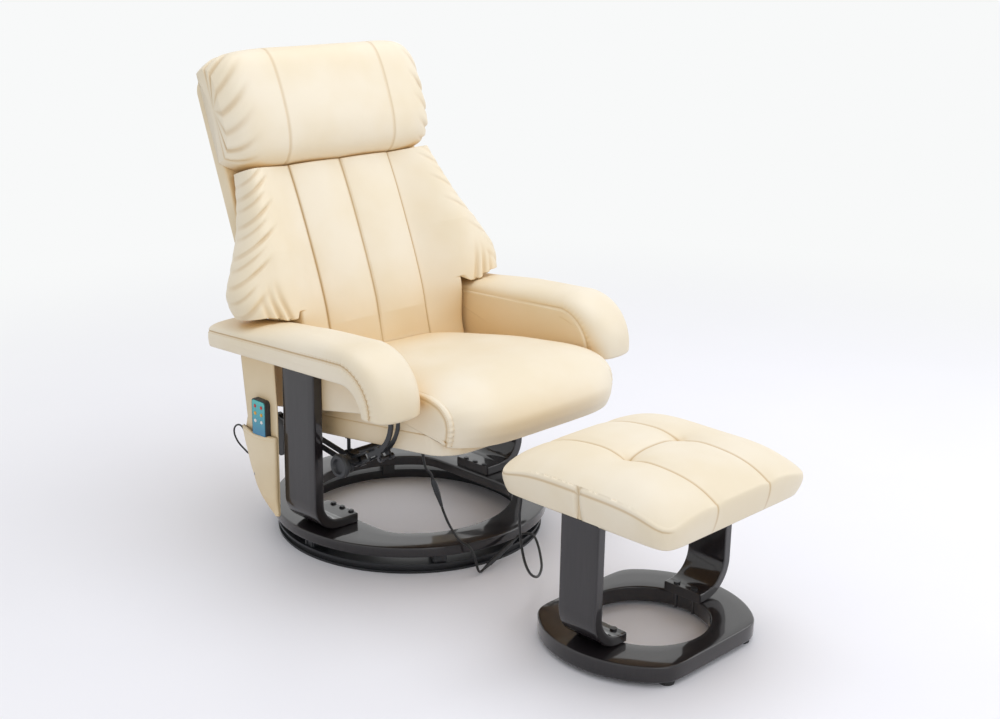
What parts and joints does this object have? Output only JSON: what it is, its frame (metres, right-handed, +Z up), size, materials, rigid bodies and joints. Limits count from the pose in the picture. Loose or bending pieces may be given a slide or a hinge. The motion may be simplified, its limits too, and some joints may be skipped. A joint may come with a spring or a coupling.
{
  "type": "massage recliner with footstool",
  "caption": "swivel reclining massage armchair with winged padded back, bentwood legs on a ring base, wired handset and matching footstool",
  "frame": {"origin": "on the floor, on the swivel axis, at the middle of the chair's floor ring", "axes": "+Z up, the sitter faces -Y, the sitter's left hand is at +X; the pouch is on the -X arm"},
  "size_m": [0.786, 1.3776, 1.0767],
  "materials": {
    "black_lacquer": "gloss black lacquer over laminated wood",
    "leatherette": "satin cream leatherette over foam",
    "cover_cloth": "cream leatherette sheet",
    "board_wood": "plain plywood, covered where it shows",
    "black_steel": "black powder coat",
    "bolt_steel": "dark zinc",
    "black_plastic": "matte black plastic",
    "black_rubber": "soft black rubber",
    "teal_face": "printed teal to blue sheet",
    "red_key": "red rubber",
    "yellow_key": "yellow rubber",
    "white_key": "white rubber"
  },
  "bodies": {
    "floor_base": {"floor_ring": "black_steel"},
    "turning_chair": {"swivel_ring": "black_lacquer", "roller_housings": "black_plastic", "left_leg": "black_lacquer", "right_leg": "black_lacquer", "leg_bolts": "bolt_steel", "left_arm_panel": "leatherette", "right_arm_panel": "leatherette", "left_arm_pad": "leatherette", "right_arm_pad": "leatherette", "arm_screws": "bolt_steel", "guide_bars": "black_steel", "guide_bolts": "bolt_steel", "pivot_bolts": "bolt_steel", "pouch": "cover_cloth", "handset_cord": "black_rubber"},
    "seat": {"seat_frame": "board_wood", "seat_cushion": "leatherette", "slide_clamps": "black_steel", "cross_tube": "black_steel", "seat_motors": "black_plastic", "control_box": "black_plastic", "cord_grommet": "black_rubber", "massage_cord": "black_rubber", "inline_connector": "black_plastic"},
    "back": {"back_shell": "cover_cloth", "back_board": "board_wood", "back_hinge_plates": "black_steel", "back_cushion": "leatherette", "left_bolster": "leatherette", "right_bolster": "leatherette", "headrest": "leatherette", "back_motors": "black_plastic"},
    "left_knob": {"left_knob": "black_plastic"},
    "right_knob": {"right_knob": "black_plastic"},
    "handset": {"handset_case": "black_plastic", "handset_face": "teal_face"},
    "footstool": {"footstool_base": "black_lacquer", "footstool_pads": "black_rubber", "footstool_legs": "black_lacquer", "footstool_bolts": "bolt_steel", "footstool_brackets": "black_steel", "footstool_board": "board_wood", "footstool_cushion": "leatherette", "footstool_motor": "black_plastic", "footstool_lead": "black_rubber", "cord_plug": "black_plastic", "cord_socket": "black_plastic"},
    "roller_1": {"roller_1": "black_plastic"},
    "key_1": {"key_1": "red_key"},
    "roller_2": {"roller_2": "black_plastic"},
    "key_2": {"key_2": "red_key"},
    "roller_3": {"roller_3": "black_plastic"},
    "key_3": {"key_3": "yellow_key"},
    "roller_4": {"roller_4": "black_plastic"},
    "key_4": {"key_4": "yellow_key"},
    "roller_5": {"roller_5": "black_plastic"},
    "key_5": {"key_5": "white_key"},
    "roller_6": {"roller_6": "black_plastic"},
    "key_6": {"key_6": "white_key"}
  },
  "joints": [
    {"name": "chair_swivel", "type": "hinge", "parent": "floor_base", "child": "turning_chair", "pos_m": [0, 0, 0.03], "axis": [0, 0, 1], "continuous": true},
    {"name": "back_recline", "type": "hinge", "parent": "turning_chair", "child": "back", "pos_m": [0, 0.15, 0.44], "axis": [-1, 0, 0], "range_deg": [0, 28]},
    {"name": "seat_glide", "type": "slide", "parent": "turning_chair", "child": "seat", "axis": [0, -0.8746, 0.4848], "range_m": [0, 0.06]},
    {"name": "left_knob_turn", "type": "hinge", "parent": "seat", "child": "left_knob", "pos_m": [-0.3, -0.108, 0.24], "axis": [-1, 0, 0], "range_deg": [0, 360]},
    {"name": "right_knob_turn", "type": "hinge", "parent": "seat", "child": "right_knob", "pos_m": [0.3, -0.108, 0.24], "axis": [1, 0, 0], "range_deg": [0, 360]},
    {"name": "handset_lift", "type": "slide", "parent": "turning_chair", "child": "handset", "axis": [0, 0, 1], "range_m": [0, 0.1]},
    {"name": "footstool_move", "type": "slide", "parent": "floor_base", "child": "footstool", "axis": [0, -1, 0], "range_m": [0, 0.3]},
    {"name": "roller_1_turn", "type": "hinge", "parent": "turning_chair", "child": "roller_1", "pos_m": [0.286, 0, 0.0293], "axis": [1, 0, 0], "continuous": true},
    {"name": "key_1_press", "type": "slide", "parent": "handset", "child": "key_1", "axis": [1, 0, 0], "range_m": [0, 0.0008], "stiffness_N_per_m": 400, "springref_m": -0.002},
    {"name": "roller_2_turn", "type": "hinge", "parent": "turning_chair", "child": "roller_2", "pos_m": [0.143, 0.24768, 0.0293], "axis": [0.5, 0.866, 0], "continuous": true},
    {"name": "key_2_press", "type": "slide", "parent": "handset", "child": "key_2", "axis": [1, 0, 0], "range_m": [0, 0.0008], "stiffness_N_per_m": 400, "springref_m": -0.002},
    {"name": "roller_3_turn", "type": "hinge", "parent": "turning_chair", "child": "roller_3", "pos_m": [-0.143, 0.24768, 0.0293], "axis": [-0.5, 0.866, 0], "continuous": true},
    {"name": "key_3_press", "type": "slide", "parent": "handset", "child": "key_3", "axis": [1, 0, 0], "range_m": [0, 0.0008], "stiffness_N_per_m": 400, "springref_m": -0.002},
    {"name": "roller_4_turn", "type": "hinge", "parent": "turning_chair", "child": "roller_4", "pos_m": [-0.286, 0, 0.0293], "axis": [-1, 0, 0], "continuous": true},
    {"name": "key_4_press", "type": "slide", "parent": "handset", "child": "key_4", "axis": [1, 0, 0], "range_m": [0, 0.0008], "stiffness_N_per_m": 400, "springref_m": -0.002},
    {"name": "roller_5_turn", "type": "hinge", "parent": "turning_chair", "child": "roller_5", "pos_m": [-0.143, -0.24768, 0.0293], "axis": [-0.5, -0.866, 0], "continuous": true},
    {"name": "key_5_press", "type": "slide", "parent": "handset", "child": "key_5", "axis": [1, 0, 0], "range_m": [0, 0.0008], "stiffness_N_per_m": 400, "springref_m": -0.002},
    {"name": "roller_6_turn", "type": "hinge", "parent": "turning_chair", "child": "roller_6", "pos_m": [0.143, -0.24768, 0.0293], "axis": [0.5, -0.866, 0], "continuous": true},
    {"name": "key_6_press", "type": "slide", "parent": "handset", "child": "key_6", "axis": [1, 0, 0], "range_m": [0, 0.0008], "stiffness_N_per_m": 400, "springref_m": -0.002}
  ],
  "couplings": [
    {"joint": "seat_glide", "follows": "back_recline", "m_per_rad": 0.12277},
    {"joint": "roller_1_turn", "follows": "chair_swivel", "ratio": -35.75},
    {"joint": "roller_2_turn", "follows": "chair_swivel", "ratio": -35.75},
    {"joint": "roller_3_turn", "follows": "chair_swivel", "ratio": -35.75},
    {"joint": "roller_4_turn", "follows": "chair_swivel", "ratio": -35.75},
    {"joint": "roller_5_turn", "follows": "chair_swivel", "ratio": -35.75},
    {"joint": "roller_6_turn", "follows": "chair_swivel", "ratio": -35.75}
  ]
}
